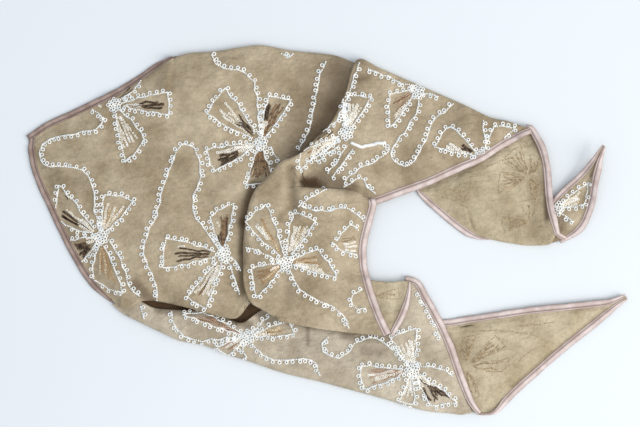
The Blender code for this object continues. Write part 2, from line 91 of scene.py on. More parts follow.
BODY = (
    ((35, 137), (34, 150), (1.5, 1.8, 1.5)),
    ((50, 127), (39, 173), (1.5, 3, 1.5)),
    ((70, 118), (54, 207), (1.5, 4.5, 1.5)),
    ((95, 106), (69, 239), (2, 6, 1.5)),
    ((121, 93), (89, 274), (4, 8, 1.5), (10, 0)),
    ((147, 76), (112, 300), (6, 9.5, 1.8), (25, 0)),
    ((167, 62), (127, 308), (7, 10.5, 4), (40, 90)),
    ((188, 54), (146, 300), (7, 11, 7.5), (180, 150)),
    ((215, 52), (180, 305), (7, 11.5, 9), (180, 180)),
    ((240, 48), (210, 313), (7, 11, 10), (180, 180)),
    ((262, 46), (236, 317.5), (7, 10, 12), (180, 150)),
    ((290, 51), (249, 304), (7, 9, 13), (180, 60)),
    ((320, 54), (262, 294), (7, 8, 11), (180, 0)),
    ((338, 57), (268, 290), (7, 7.5, 9), (180, 0)),
    ((362, 67), (276, 285), (4, 7, 8)),
)
# The upper tail from its far end to the pocket, then the fold that lies in front of it.
UPPER = (
    ((528, 129), (523, 131), (7, 7, 6)),
    ((508, 122), (502, 141), (7.5, 9, 6), (180, 0)),
    ((490, 118), (478, 156), (8, 11, 9), (180, 0)),
    ((465, 106), (455, 166), (8, 12, 9), (180, 0)),
    ((440, 95), (429, 178), (8, 12, 9), (180, 0)),
    ((410, 82), (399, 189), (8, 12, 7.5), (180, 0)),
    ((380, 69), (374, 198), (9, 13, 7), (180, 0)),
    ((357, 61), (350, 205), (13, 14, 9), (170, 0)),
    ((345, 95), (331, 202), (16, 14, 9), (180, 0)),
    ((332.5, 121), (316, 196), (18, 14, 7.5), (180, 0)),
    ((317, 138), (307, 191), (20, 12, 6), (180, 0)),
    ((305, 151), (303, 183), (21, 14, 7), (180, 0)),
    ((293, 158), (299, 181), (21.5, 19, 14), (180, 60)),
    ((281, 163), (301, 185), (22, 21, 17), (180, 120)),
    ((268, 178), (306, 190), (20, 20, 17), (180, 150)),
    ((258, 187), (330, 189), (19, 19, 18), (180, 150)),
    ((252, 198), (357, 191.5), (18, 19, 16), (180, 120)),
    ((249, 208), (369, 202), (18, 18, 13), (180, 0)),
    ((246, 225), (365, 221), (17, 18, 9), (170, 0)),
    ((244, 245), (360, 243), (16, 17, 7), (150, 0)),
    ((244, 265), (360, 263), (15.5, 16, 7), (100, 0)),
    ((245, 285), (364, 283), (15.5, 15, 8), (60, 0)),
    ((252, 302), (371, 305), (16, 14, 9), (60, 0), (308, 306)),
    ((268, 312), (377, 320), (16, 13, 9.5), (90, 0), (316, 320)),
    ((280, 320), (384, 335), (16, 11, 9.5), (90, 0), (325, 329)),
)
TURN = (
    ((410, 184), (420, 191), (1.6, 1.6, 1.6)),
    ((425, 176), (440, 208), (1.6, 2.5, 1.6)),
    ((440, 169), (458, 223), (1.6, 5, 1.6)),
    ((455, 163), (476, 235), (1.6, 6, 2.4), (0, 15)),
    ((470, 155), (495, 240), (1.6, 6.5, 5), (0, 170)),
    ((485, 147), (511, 243), (1.6, 7, 6), (0, 180)),
    ((498, 141), (526, 245), (2.5, 7, 7), (0, 180)),
    ((509, 137), (538, 245), (3.5, 7.5, 8), (0, 180), (525, 190), 1),
    ((520, 134), (549.5, 243.5), (4.5, 8, 8.5), (0, 150), (538, 185), 2),
    ((529, 131), (554.5, 235), (5.5, 10, 8.5), (0, 60), (544, 181), 3),
)
UPPER_TIP = (
    ((540, 244), (543, 211), (2.4, 1.8, 1.6)),
    ((555, 242), (553, 206), (2.6, 2.2, 2.8)),
    ((566, 236), (560.5, 197), (2, 3, 4)),
    ((574, 230), (568.5, 189), (3, 4, 5)),
    ((581, 221), (575.5, 183), (4.5, 4.5, 6.5)),
    ((586, 209), (581.5, 177), (6.5, 5.5, 8)),
    ((589, 196), (586.5, 171.5), (9, 7, 9.5)),
    ((591, 182), (589, 168), (11, 9, 11)),
    ((593, 171), (591, 165), (12.5, 11.5, 12.5)),
    ((596.5, 159), (595, 157.5), (14, 13.5, 14)),
    ((602, 146.5), (601, 145.5), (15, 15, 15)),
)
PLEAT_RETURN = (
    ((352, 281), (352, 314), (9, 5, 5), (180, 0)),
    ((365, 280), (362, 320), (9, 6.5, 5), (180, 0)),
    ((378, 281), (371, 326), (10, 8, 5), (180, 0)),
    ((390, 282), (379, 330), (10.5, 9, 5.5), (180, 0)),
    ((400, 281), (385, 332), (10.5, 9.5, 6), (180, 0), (396, 304)),
    ((408, 281), (389, 333), (10, 9.5, 6), (90, 0), (403, 304)),
)
LOWER_TAIL = (
    ((112.5, 304.5), (127, 299), (1.8, 2.2, 1.8)),
    ((122, 312.5), (133, 301), (3, 3.2, 2.8)),
    ((139, 321), (140, 301), (4.5, 5, 5), (150, 150)),
    ((160, 331), (155, 308), (6, 7.5, 7), (180, 180)),
    ((180, 340), (180, 310), (7, 8.5, 8), (180, 180)),
    ((205, 345), (205, 311), (7, 8.5, 8), (180, 180)),
    ((228, 354), (226, 318), (7, 8.5, 8), (180, 160)),
    ((250, 361), (243, 322.5), (7, 8.5, 7.5), (180, 60)),
    ((270, 368), (262, 310), (7, 8, 2.5), (180, 0)),
    ((290, 374), (290, 305), (7, 8, 2.5), (180, 0)),
    ((320, 381), (325, 310), (7, 8, 2.5), (180, 0)),
    ((350, 389), (354, 300), (7, 8.5, 2.5), (180, 0)),
    ((380, 397), (385, 284), (7, 9, 3), (180, 0)),
    ((400, 403), (412, 283), (7, 9.5, 3.5), (180, 0)),
    ((417, 408), (422, 298), (7, 9.5, 4), (180, 0)),
    ((430, 411), (431, 314), (6.5, 9, 4.5), (180, 0)),
    ((442, 412), (441, 333), (6.5, 8.5, 4.2), (180, 0)),
    ((452, 413), (449, 353), (6, 8, 4), (180, 0)),
    ((460, 414), (457, 376), (6, 7, 4), (170, 0)),
    ((467, 413), (464, 394), (6, 6, 4), (120, 0)),
    ((471, 412), (469, 404), (5.5, 5, 4.5)),
)
LOWER_TIP = (
    ((436, 326), (468, 410), (1.5, 1.5, 1.5), (0, 60), (450, 362)),
    ((452, 325), (483, 414), (1.7, 2, 2.5), (0, 120), (464, 364)),
    ((470, 322), (494, 410), (2.5, 4, 1.8), (0, 60), (479, 362)),
    ((490, 319), (504, 398), (3.5, 5.5, 1.5)),
    ((510, 316), (518, 384), (4, 5.5, 1.5)),
    ((530, 313), (535, 369), (4.5, 5, 1.5)),
    ((550, 311), (552, 354), (5, 4.5, 1.5)),
    ((570, 309), (570, 339), (5, 4.5, 2)),
    ((590, 307), (589, 324), (5, 4, 2.5)),
    ((605, 305), (606, 310), (4.5, 4, 3.5)),
    ((616, 301), (617, 302.5), (4.2, 4, 3.8)),
    ((625, 296), (626, 297.5), (4, 4, 4)),
)
PLEAT_FLOOR = tuple((start, end, (0.6, 0.6, 0.6)) for start, end in (
    ((128, 288), (133, 312)),
    ((160, 292), (160, 318)),
    ((200, 296), (200, 322)),
    ((230, 301), (230, 330)),
    ((256, 302), (256, 336)),
    ((284, 304), (284, 338)),
))
# The cloth turned under the body, seen only from the sides and below.
TURNED_UNDER = (
    ((118, 120), (112, 268), (0.6, 1.6, 0.6)),
    ((170, 80), (155, 283), (0.6, 2.4, 0.6)),
    ((240, 70), (232, 290), (0.6, 2.4, 0.6)),
    ((308, 72), (300, 289), (0.6, 2.4, 0.6)),
    ((346, 114), (340, 281), (0.6, 1.6, 0.6)),
)

# Creases of each stretch: from, to, how much the cloth rises there and how far that spreads.
CREASES = {
    "body": (
        ((60, 180), (150, 240), 1.5, 16),
        ((120, 130), (215, 215), -2.5, 14),
        ((185, 90), (235, 175), 2, 14),
        ((170, 240), (240, 290), 1.8, 16),
    ),
    "upper": (
        ((380, 110), (440, 165), 1.8, 12),
        ((430, 110), (470, 150), -2, 9),
        ((290, 168), (292, 215), -4, 6),
        ((262, 220), (275, 290), 2, 10),
        ((300, 230), (355, 300), -2, 10),
    ),
    "turn": (((470, 180), (515, 225), 2, 10), ((505, 165), (530, 215), -1.8, 8)),
    "lower_tail": (((290, 330), (380, 370), -2, 10), ((380, 320), (440, 395), 1.6, 12)),
    "lower_tip": (((468, 330), (550, 343), 2, 7),),
}
# Painted shade, darkening the cloth's colour in creases, hollows, holes and under folds: from, to, how much
# of the light the painted shade takes and how far that spreads.
SHADES = {
    "pleat_floor": (((240, 320), (250, 310), 0.6, 6), ((150, 300), (190, 309), 0.35, 4)),
    "body": (
        ((254, 186), (244, 222), 0.85, 6.5),
        ((244, 222), (243, 250), 0.8, 5),
        ((243, 255), (242, 292), 0.6, 4.5),
        ((342, 62), (300, 148), 0.5, 24),
        ((339, 72), (333, 104), 0.28, 10),
        ((332, 112), (298, 152), 0.45, 10),
        ((270, 158), (256, 186), 0.3, 7),
        ((137, 284), (152, 301), 0.62, 6),
        ((150, 303), (205, 309), 0.25, 4),
        ((64, 228), (74, 238), 0.22, 6),
        ((150, 74), (168, 92), 0.18, 5),
        ((58, 176), (84, 182), 0.15, 9),
    ),
    "upper": (
        ((305, 182.5), (314, 182.5), 0.97, 6.2),
        ((312, 184), (323, 186), 0.6, 4.5),
        ((321, 178), (350, 188), 0.6, 8),
        ((326, 170), (340, 158), 0.35, 4),
        ((291, 170), (294, 206), 0.4, 5.5),
        ((288, 208), (280, 219), 0.35, 3),
        ((357, 62), (344, 106), 0.4, 10),
        ((360, 80), (366, 79), 0.4, 5),
        ((318, 136), (330, 129), 0.55, 3.5),
        ((418, 104), (412, 168), 0.14, 12),
        ((459, 106), (461, 126), 0.22, 7),
        ((354, 186), (364, 192), 0.35, 4),
        ((288, 272), (290, 306), 0.22, 4.5),
        ((246, 218), (246, 262), 0.35, 4),
        ((300, 288), (350, 300), 0.1, 12),
    ),
    "turn": (
        ((530, 133), (545, 166), 0.8, 3),
        ((545, 166), (546, 218), 0.8, 3),
        ((520, 142), (540, 152), 0.18, 4),
        ((541, 180), (541, 236), 0.22, 11),
        ((428, 188), (505, 150), 0.28, 5),
        ((500, 195), (525, 228), 0.12, 14),
        ((452, 180), (462, 210), 0.1, 10),
    ),
    "lower_tail": (
        ((158, 310), (214, 314), 0.55, 4),
        ((214, 315), (250, 325), 0.6, 4.5),
        ((258, 312), (270, 322), 0.55, 5),
        ((280, 318), (345, 331), 0.42, 6.5),
        ((308, 322), (308, 344), 0.5, 2),
        ((345, 334), (388, 338), 0.45, 6),
        ((364, 350), (384, 352), 0.3, 5),
        ((404, 300), (396, 328), 0.3, 5),
        ((300, 350), (345, 352), 0.12, 14),
    ),
    "lower_tip": (
        ((448, 336), (466, 392), 0.3, 4),
        ((468, 350), (504, 352), 0.12, 12),
        ((460, 326), (600, 307), 0.18, 3),
        ((513, 386), (605, 309), 0.28, 2.5),
    ),
    "upper_tip": (((556, 204), (563, 228), 0.35, 5), ((590, 176), (597, 152), 0.55, 2)),
    "pleat_return": (
        ((364, 284), (374, 316), 0.35, 5),
        ((404, 286), (394, 322), 0.25, 4),
        ((380, 300), (386, 322), 0.15, 6),
    ),
}

LOWER_TIP_PIECES = ("lower_tip", "lower_tip_upper", "lower_tip_outer", "pleat_floor")
LOWER_PIECES = ("lower_tail", "lower_front", "pleat_floor")
PLEAT_PIECES = ("pleat_return", "pleat", "lower_tail")
UPPER_TIP_PIECES = ("upper_tip", "tip_inner", "tip_outer")
TURN_PIECES = ("turn", "turn_inner", "turn_outer")
# In the order in which they are laid.
PANELS = (
    Panel("turned_under", TURNED_UNDER, (), "wrong", "cloth", ["hidden_layers"], "body", 21.0),
    Panel("lower_tip", LOWER_TIP, (), "wrong", "cloth_wrong_side", ["lower_tail_tip"], "lower_tail", 1.0, (
        Tape("lower_tip_upper", "start", narrow=(1.0, 0.35), wide=0.9),
        Tape("lower_tip_outer", "end", (), (0.06, 1.0), (0.7, 0.35), 0.9),
    )),
    # The pleat's floor takes the cloth painted dark as shadow.
    Panel("pleat_floor", PLEAT_FLOOR, (), "inside", "cloth", ["pleat_floor"], "lower_tail", 2.0),
    Panel("lower_tail", LOWER_TAIL, LOWER_TIP_PIECES, "pale", "cloth", ["lower_tail"], "lower_tip", 3.0, (
        Tape("lower_front", "end", LOWER_TIP_PIECES, (0.63, 1.0), (0.8, 0.6),
             trail=((473, 409), (478, 414)), drop=0.5),
    )),
    Panel("pleat_return", PLEAT_RETURN, LOWER_PIECES, "wrong", "cloth_wrong_side", ["pleat_return"],
          "lower_tail", 4.0, (Tape("pleat", "last row", LOWER_PIECES, (0.12, 1.0), (0.3, 0.9), 0.85),)),
    Panel("body", BODY, LOWER_PIECES, "cloth", "cloth", ["body"], "turned_under", 5.0, (
        # These two tapes take the pink tape's copy with painted shade.
        Tape("back_upper", "start", (), (0.0, 0.48), (1.0, 0.2), 0.85, "binding_painted_shade",
             lead=((30, 140.5),)),
        Tape("back_lower", "first row and end", (), (0.0, 0.37), (1.0, 0.3), 0.85, "binding_painted_shade"),
    )),
    Panel("upper_tip", UPPER_TIP, (), "cloth", "cloth", ["upper_tail_tip"], "turn", 6.0, (
        Tape("tip_inner", "end", (), (0.1, 1.0), (1.0, 0.2), 0.75),
        Tape("tip_outer", "start", (), (0.13, 1.0), (0.5, 0.3), 0.95),
    )),
    Panel("turn", TURN, UPPER_TIP_PIECES, "wrong", "cloth_wrong_side", ["upper_tail_turn"],
          "upper_tip", 7.0, (
              Tape("turn_inner", "end", UPPER_TIP_PIECES, (0.0, 0.42), (0.5, 0.3), 0.85,
                   lead=((413, 187),)),
              Tape("turn_outer", "last row", UPPER_TIP_PIECES, (0.0, 0.93), (0.9, 0.6), 0.95,
                   lead=((525, 130.5),), trail=((557, 237), (564, 240)), drop=0.7),
          )),
    Panel("upper", UPPER, ("body", *TURN_PIECES, *PLEAT_PIECES), "cloth", "cloth",
          ["upper_tail", "front_fold"], "body", 8.0, (
              Tape("front_upper", "end", TURN_PIECES, (0.0, 0.28), (0.8, 1.0), lead=((529, 129),)),
              Tape("front_middle", "end", PLEAT_PIECES, (0.7, 1.0)),
          )),
)

FLOWERS = (
    Flower("body", (115, 105), (
        ((168, 93), (170, 115), ". . k ki dki ."),
        ((146, 138), (126, 162), ". e c c e c"),
    )),
    Flower("body", (102, 237), (
        ((55, 219), (60, 186), ". kki dki ei i . ."),
        ((106, 195), (134, 201), "g c g g c g c g"),
        ((80, 262), (68, 241), "k k k ki ki i"),
        ((124, 292), (93, 279), ". t t g t g ."),
    )),
    Flower("body", (261, 143), (
        ((208, 114), (226, 89), ". c en en en n ."),
        ((268, 98), (292, 101), "ki ki b b b b b ."),
        ((215, 171), (207, 150), "k ki kk ki c c ."),
        ((272, 180), (247, 185), "b b b b b b b b"),
    )),
    Flower("body", (224, 254), (
        ((165, 267), (167, 238), ". d . d d . d o ."),
        ((207, 307), (189, 296), "c c c b c o"),
        ((211, 217), (234, 204), ". n o n b b b b d ."),
    )),
    Flower("upper", (286, 262), (
        ((247, 222), (267, 205), ". e e g t . . ."),
        ((293, 213), (316, 221), ". c c c g c c"),
        ((319, 250), (336, 277), ". t g t c c c"),
        ((258, 296), (252, 268), ". t gt t ti t ."),
    )),
    Flower("upper", (346, 133), (
        ((343, 98), (371, 98), "c i c c c c c ."),
        ((299, 169), (302, 152), "b c c c c b c"),
    )),
    Flower("upper", (417, 91), (((390, 128), (389, 96), "c e r . r b r ."),)),
    Flower("upper", (480, 157), (
        ((434, 147), (450, 127), "c e en n n n . ."),
        ((493, 127), (514, 129), "."),
    )),
    Flower("lower_tail", (248, 336), (
        ((184, 314), (206, 312), "r b r r b r b r"),
        ((289, 320), (294, 334), ". g gi t i gi"),
        ((217, 346), (228, 355), "r c r c"),
    )),
    Flower("lower_tail", (412, 369), (
        ((391, 338), (416, 328), "c c . c c c c"),
        ((364, 389), (361, 366), ". r e c r c r r ."),
        ((414, 403), (399, 401), "c c c"),
        ((456, 401), (430, 404), "ki ki di dki i ki"),
    )),
    Flower("upper_tip", (556, 207), (((588, 183), (583, 205), ". c g c c g c"),)),
)
# Flowers sewn on the other face, whose stitches show through on the wrong side of the cloth.
BACK_FLOWERS = (
    Flower("turn", (528, 178), (
        ((503, 160), (520, 146), "s s s s"),
        ((498, 192), (500, 172), "s s s s s"),
        ((530, 154), (542, 162), "s s s s"),
        ((541, 186), (536, 206), "s s s s s"),
    )),
    Flower("turn", (530, 222), (
        ((505, 232), (500, 216), "s s s s"),
        ((520, 202), (535, 200), ". s ."),
    )),
    Flower("turn", (446, 190), (((470, 184), (464, 202), ". s ."),)),
    Flower("lower_tip", (466, 366), (
        ((462, 338), (476, 334), "s s s s"),
        ((494, 336), (506, 346), "s s s s"),
        ((508, 358), (502, 372), "s . s"),
        ((480, 396), (470, 398), "s s"),
    )),
    Flower("pleat_return", (372, 296), (((398, 288), (398, 298), ". s ."),)),
)

# On each sheet: the side that the bead rings stand on, left (1) or right (-1) of the way along, or
# none (0), and the points that the line runs through.
VINES = {
    "body": (
        (1, (104, 118), (98, 129), (75, 134), (52, 139), (42, 147), (40, 156), (46, 165), (65, 167),
         (80, 169), (90, 178), (95, 194), (96, 212), (100, 230)),
        (-1, (121, 100), (128, 95), (134, 90), (139, 85), (146, 76)),
        (-1, (90, 108), (96, 112), (102, 117), (106, 122)),
        (1, (110, 240), (118, 252), (125, 268), (130, 284), (140, 297)),
        (1, (158, 300), (157, 284), (149, 266), (145, 250), (150, 230), (158, 214), (162, 194), (170, 170),
         (180, 148), (187, 144), (196, 150), (201, 168), (199, 185), (193, 200), (197, 217), (212, 238),
         (221, 250)),
        (-1, (260, 134), (258, 118), (257, 98), (253, 82), (240, 72), (224, 69), (214, 61), (212, 55)),
        (1, (300, 150), (308, 132), (313, 114), (317, 92), (320, 74), (326, 62)),
        (-1, (228, 260), (234, 274), (240, 294)),
        (-1, (231, 257), (240, 266), (241, 272)),
        (-1, (271, 147), (275, 155), (280, 161)),
        (1, (281, 55), (287, 58), (294, 54)),
    ),
    "upper": (
        (-1, (247, 248), (256, 250), (266, 254), (278, 259)),
        (-1, (290, 270), (299, 287), (316, 299), (334, 307), (345, 317), (349, 328)),
        (-1, (326, 190), (312, 196), (298, 207)),
        (1, (300, 206), (312, 210), (328, 211), (345, 208), (355, 213), (365, 223)),
        (1, (336, 240), (343, 232), (350, 225), (359, 231)),
        (-1, (332, 242), (340, 248), (348, 252), (357, 254)),
        (-1, (361, 289), (353, 294), (351, 301), (357, 307), (366, 309)),
        (0, (352, 144), (360, 146), (368, 146), (376, 144.5), (384, 142.5)),
        (-1, (384, 143), (388, 148), (385, 154), (380, 158), (372, 163), (360, 169), (350, 176), (344, 184)),
        (-1, (343, 107), (348, 95), (353, 82), (356, 72), (359, 65)),
        (1, (343, 108), (339, 117), (332, 125), (323, 134)),
        (1, (306, 162), (318, 156), (330, 148), (340, 141)),
        (-1, (316, 162), (327, 155), (338, 146)),
        (1, (342, 103), (343, 114), (344, 127)),
        (-1, (348, 104), (348, 116), (348, 127)),
        (-1, (346, 147), (337, 161), (328, 174)),
        (1, (352, 150), (343, 163), (331, 178)),
        (1, (344, 186), (353, 182), (361, 179), (367, 187), (374, 194)),
        (-1, (368, 70), (384, 76), (400, 83), (412, 86)),
        (-1, (422, 94), (430, 95), (438, 97)),
        (1, (419, 98), (417, 110), (410, 123), (401, 136), (392, 148), (391, 157), (398, 164), (406, 166),
         (414, 160), (421, 148), (428, 134), (432, 121), (443, 113), (453, 104)),
        (1, (482, 122), (483, 136), (486, 150)),
    ),
    "lower_tail": (
        (-1, (171, 312), (175, 324), (184, 335), (200, 340), (222, 338), (240, 337)),
        (-1, (252, 343), (260, 351), (270, 358), (286, 360), (306, 358), (316, 364), (320, 376)),
        (1, (328, 336), (322, 344), (324, 352), (334, 357), (346, 354), (356, 343), (367, 337), (380, 340),
         (394, 350), (408, 365)),
        (-1, (417, 293), (426, 308), (433, 322), (440, 338)),
        (1, (418, 366), (432, 366), (444, 370), (452, 377)),
        (-1, (246, 342), (243, 349), (247, 357)),
        (1, (252, 331), (262, 323), (269, 316)),
        (1, (141, 306), (143, 312), (145, 319)),
    ),
    "upper_tip": (
        (-1, (558, 212), (566, 218), (574, 221)),
    ),
}
SEWN_LINES = (
    ("body", "dark_sequins", (120, 99), (137, 81)),
    ("body", "dark_sequins", (123, 99), (133, 88)),
    ("body", "cream_sequins", (95, 103), (104, 108)),
    ("body", "dark_sequins", (66, 196), (70, 201)),
    ("upper", "dark_sequins", (316, 138), (330, 128)),
    ("upper", "dark_sequins", (318, 140), (332, 130)),
    ("upper", "dark_sequins", (321, 141), (334, 131)),
    ("upper", "brown_threads", (343, 239), (356, 237)),
    ("upper", "brown_threads", (342, 241), (357, 239)),
    ("upper", "cream_sequins", (344, 243), (358, 242)),
    ("upper", "cream_sequins", (345, 246), (358, 246)),
    ("upper", "cream_sequins", (346, 249), (358, 250)),
    ("lower_tail", "dark_sequins", (434, 393), (435, 402)),
)
# Rows of stitches that show through on the wrong side of the cloth.
STITCH_LINES = (
    ("turn", (509, 140), (524, 142), (536, 150)),
    ("turn", (520, 158), (500, 160), (482, 170)),
    ("turn", (436, 196), (452, 200), (470, 210)),
    ("lower_tip", (470, 331), (500, 330), (530, 334), (550, 343)),
    ("lower_tip", (520, 326), (536, 324), (556, 322)),
    ("lower_tip", (520, 360), (530, 350), (545, 345)),
)


def to_table(place):
    """A layout place in the row frame, still in mm."""
    return Vector((place[0] - CENTRE[0], CENTRE[1] - place[1]))


def smooth(values, at):
    """The value at row number `at` of a smooth curve through all the rows."""
    row = min(int(at), len(values) - 2)
    f = at - row
    before, here, after, beyond = (values[min(max(row + k, 0), len(values) - 1)] for k in (-1, 0, 1, 2))
    return (
        here * (1 + f * f * (2 * f - 3))
        + after * (f * f * (3 - 2 * f))
        + (after - before) * 0.5 * (f * (1 - f) ** 2)
        - (beyond - here) * 0.5 * (f * f * (1 - f))
    )


def heading(points, s):
    """The direction of a path at its point number s."""
    return (points[min(s + 1, len(points) - 1)] - points[max(s - 1, 0)]).normalized()


def ripple(place, period, seed):
    """A smooth random value, about -0.5 to 0.5, that changes over so many mm of the table."""
    return noise.noise(Vector((place.x / period, place.y / period, seed)))


class Rows:
    """A table of sections, read at any place between its rows."""

    def __init__(self, table):
        sections = [Section(*row) for row in table]
        self.count = len(sections)
        self.start = [to_table(s.start) for s in sections]
        self.end = [to_table(s.end) for s in sections]
        self.middle = [
            to_table(s.middle) if s.middle else (to_table(s.start) + to_table(s.end)) * 0.5
            for s in sections
        ]
        self.heights = [Vector(s.height) for s in sections]
        self.turns = [Vector(s.turn) for s in sections]
        self.bends = [float(s.bend) for s in sections]

    def at(self, share):
        """The section at this share, 0 to 1, of the way from the first row to the last."""
        place = share * (self.count - 1)
        line = [smooth(part, place) for part in (self.start, self.middle, self.end, self.bends)]
        return line, smooth(self.heights, place), smooth(self.turns, place)

    def shares(self, step):
        """Shares of the way through the rows, about this far apart on the table."""
        made = [0.0]
        for row in range(self.count - 1):
            run = max((side[row + 1] - side[row]).length for side in (self.start, self.end))
            cuts = max(2, round(run / step))
            made += [(row + (cut + 1) / cuts) / (self.count - 1) for cut in range(cuts)]
        return made

    def widest(self):
        return max((e - s).length for s, e in zip(self.start, self.end))


def across(line, share):
    """A point of the curve from a section's start through its middle to its end."""
    start, middle, end, bend = line
    aside = Vector((start.y - end.y, end.x - start.x)).normalized()
    return (
        start * ((1 - share) * (1 - 2 * share))
        + middle * (4 * share * (1 - share))
        + end * (share * (2 * share - 1))
        + aside * (bend * math.sin(2 * math.pi * share))
    )


class Stack:
    """The sheets laid so far, for finding the height of what lies below a place."""

    def __init__(self):
        self.trees = {}

    def add(self, name, points, faces):
        self.trees[name] = BVHTree.FromPolygons(points, faces)

    def hit(self, place, name):
        above = Vector((place.x, place.y, HIGH_ABOVE))
        return self.trees[name].ray_cast(above, Vector((0, 0, -1)))

    def top(self, place, names, reach):
        """The highest point of these sheets near a place, or 0, the floor."""
        best = 0.0
        for name in names:
            for dx, dy in ((0, 0), (reach, 0), (-reach, 0), (0, reach), (0, -reach)):
                spot = self.hit(Vector((place.x + dx, place.y + dy)), name)[0]
                if spot:
                    best = max(best, spot.z)
        return best

    def highest(self, place):
        """The name of the sheet on top at a place, with the point and the normal there."""
        best = (None, None, None)
        for name in self.trees:
            spot, normal, _, _ = self.hit(place, name)
            if spot and (best[1] is None or spot.z > best[1].z):
                best = (name, spot, normal if normal.z > 0 else -normal)
        return best


def edge_roll(height, floor, degrees, room):
    """How far out and down an edge at this height goes, step by step, and how far out it reaches."""
    turn = math.radians(max(degrees, 0.0))
    rolls = turn > 0.1
    length = min(FLAT_EDGE, room)
    if rolls:
        hang = BINDING_WIDTH * math.sin(turn) if turn < 1.6 else 0.0
        drop = max(height - floor - hang - CLOTH / 2, 0.5)
        length = min(drop * turn / (1 - math.cos(turn)), WIDEST_ROLL, room)
    points = [(length * step / ROLL_STEPS, 0.0) for step in range(ROLL_STEPS + 1)]
    if rolls:
        radius = length / turn
        angles = [run / radius for run, _ in points]
        points = [(radius * math.sin(angle), radius * (1 - math.cos(angle))) for angle in angles]
    return points, max(out for out, down in points)


def spreads_away(place, start, end, spread):
    """How far a place is from the line between two layout places, counted in spreads."""
    first = to_table(start)
    line = to_table(end) - first
    along = (place - first).dot(line) / line.length_squared
    near = first + line * min(max(along, 0.0), 1.0)
    return (place - near).length / spread


def crease_lift(place, creases):
    lift = 0.0
    for start, end, rise, spread in creases:
        away = spreads_away(place, start, end, spread)
        lift += rise * math.exp(-away * away)
    return lift


def shading(point, shades):
    """The share of the colour that the painted shade leaves: 1 in the open, and less in the hollows."""
    open_share = 1.0
    for start, end, depth, spread in shades:
        away = spreads_away(point.xy, start, end, spread)
        open_share *= 1 - depth * math.exp(-away * away * away)
    return open_share


def unevenness(place, seed):
    """Soft waves of the cloth, in mm: broad ones, and fine ones between them."""
    broad = noise.noise(Vector((place.x / 38, place.y / 30, seed)))
    fine = noise.noise(Vector((place.x / 13, place.y / 11, seed + 9.0)))
    return 1.1 * broad + 0.3 * fine


def fall(share):
    return (1 - share) ** 2 if share < 1 else 0.0


def laid_edges(section, heights, turns, below, stack):
    """For a section's two edges: the height, the roll and how far out it reaches."""
    start, _, end, _ = section
    first = (across(section, 0.05) - start).normalized()
    last = (end - across(section, 0.95)).normalized()
    edges = []
    for place, inwards, height, turn in (
        (start, first, heights[0], turns[0]),
        (end, -last, heights[2], turns[1]),
    ):
        floor = max(stack.top(place + inwards * run, below, 3.0) for run in (-3, 4, 9))
        lift = GAP if floor else 0.0
        least = floor + lift + (BINDING_HALF if turn < 45 else CLOTH / 2 + 3.0)
        if turn > 45 and not floor:
            least = 0.0
        height = max(height, least)
        points, reach = edge_roll(height, floor + lift, turn, (end - start).length * 0.3)
        rolled = []
        for out, down in points:
            spot = place + inwards * (reach - out)
            rolled.append(Vector((spot.x, spot.y, height - down)))
        edges.append((height, rolled, reach))
    return edges


def laid_grid(panel, stack):
    """The middle surface of a panel as rows of points, with each row's share of the way."""
    rows = Rows(panel.sections)
    shares = rows.shares(CELL)
    columns = max(8, round(rows.widest() / CELL))
    creases = CREASES.get(panel.name, ())
    grid = []
    for share in shares:
        section, heights, turns = rows.at(share)
        (start_z, start_roll, start_reach), (end_z, end_roll, end_reach) = laid_edges(
            section, heights, turns, panel.below, stack
        )
        width = (section[2] - section[0]).length
        line = start_roll[:0:-1]
        fall_reach = min(FALL_REACH, width * 0.5)
        for c in range(columns):
            run = start_reach + (width - start_reach - end_reach) * c / (columns - 1)
            spot = across(section, run / width)
            from_start = (run - start_reach) / fall_reach
            from_end = (width - end_reach - run) / fall_reach
            z = (
                heights[1]
                + (start_z - heights[1]) * fall(from_start)
                + (end_z - heights[1]) * fall(from_end)
            )
            fade = max(min(from_start, from_end, 0.4) / 0.4, 0.0)
            z += (crease_lift(spot, creases) + unevenness(spot, panel.seed)) * fade
            under = stack.top(spot, panel.below, 2.5)
            if under:
                z = max(z, under + GAP + CLOTH / 2)
            line.append(Vector((spot.x, spot.y, max(z, CLOTH / 2))))
        grid.append(line + end_roll[1:])
    return grid, shares


def grid_faces(rows, columns, flip):
    faces = []
    for r in range(rows - 1):
        for c in range(columns - 1):
            a = r * columns + c
            face = (a, a + columns, a + columns + 1, a + 1)
            faces.append(face[::-1] if flip else face)
    return faces


def quilt_size(grid):
    """The longest run of a laid grid each way, and its whole area, in metres."""
    across_runs = [sum((b - a).length for a, b in zip(line, line[1:])) for line in grid]
    along_runs = [
        sum((grid[r + 1][c] - grid[r][c]).length for r in range(len(grid) - 1))
        for c in (0, len(grid[0]) // 2, len(grid[0]) - 1)
    ]
    area = 0.0
    for a, b in zip(grid, grid[1:]):
        for c in range(len(a) - 1):
            area += (a[c + 1] - a[c]).cross(b[c] - a[c]).length / 2
            area += (b[c + 1] - a[c + 1]).cross(b[c + 1] - b[c]).length / 2
    return max(across_runs) * MM, max(along_runs) * MM, area * MM * MM


def add_object(name, points, faces, look, shade=None):
    mesh = bpy.data.meshes.new(name)
    mesh.from_pydata([p * MM for p in points], [], faces)
    mesh.polygons.foreach_set("use_smooth", [True] * len(mesh.polygons))
    mesh.materials.append(look)
    if shade:
        mesh.attributes.new("shade", "FLOAT", "POINT").data.foreach_set("value", shade)
    item = bpy.data.objects.new(name, mesh)
    bpy.context.scene.collection.objects.link(item)
    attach(item, "root")
    return item


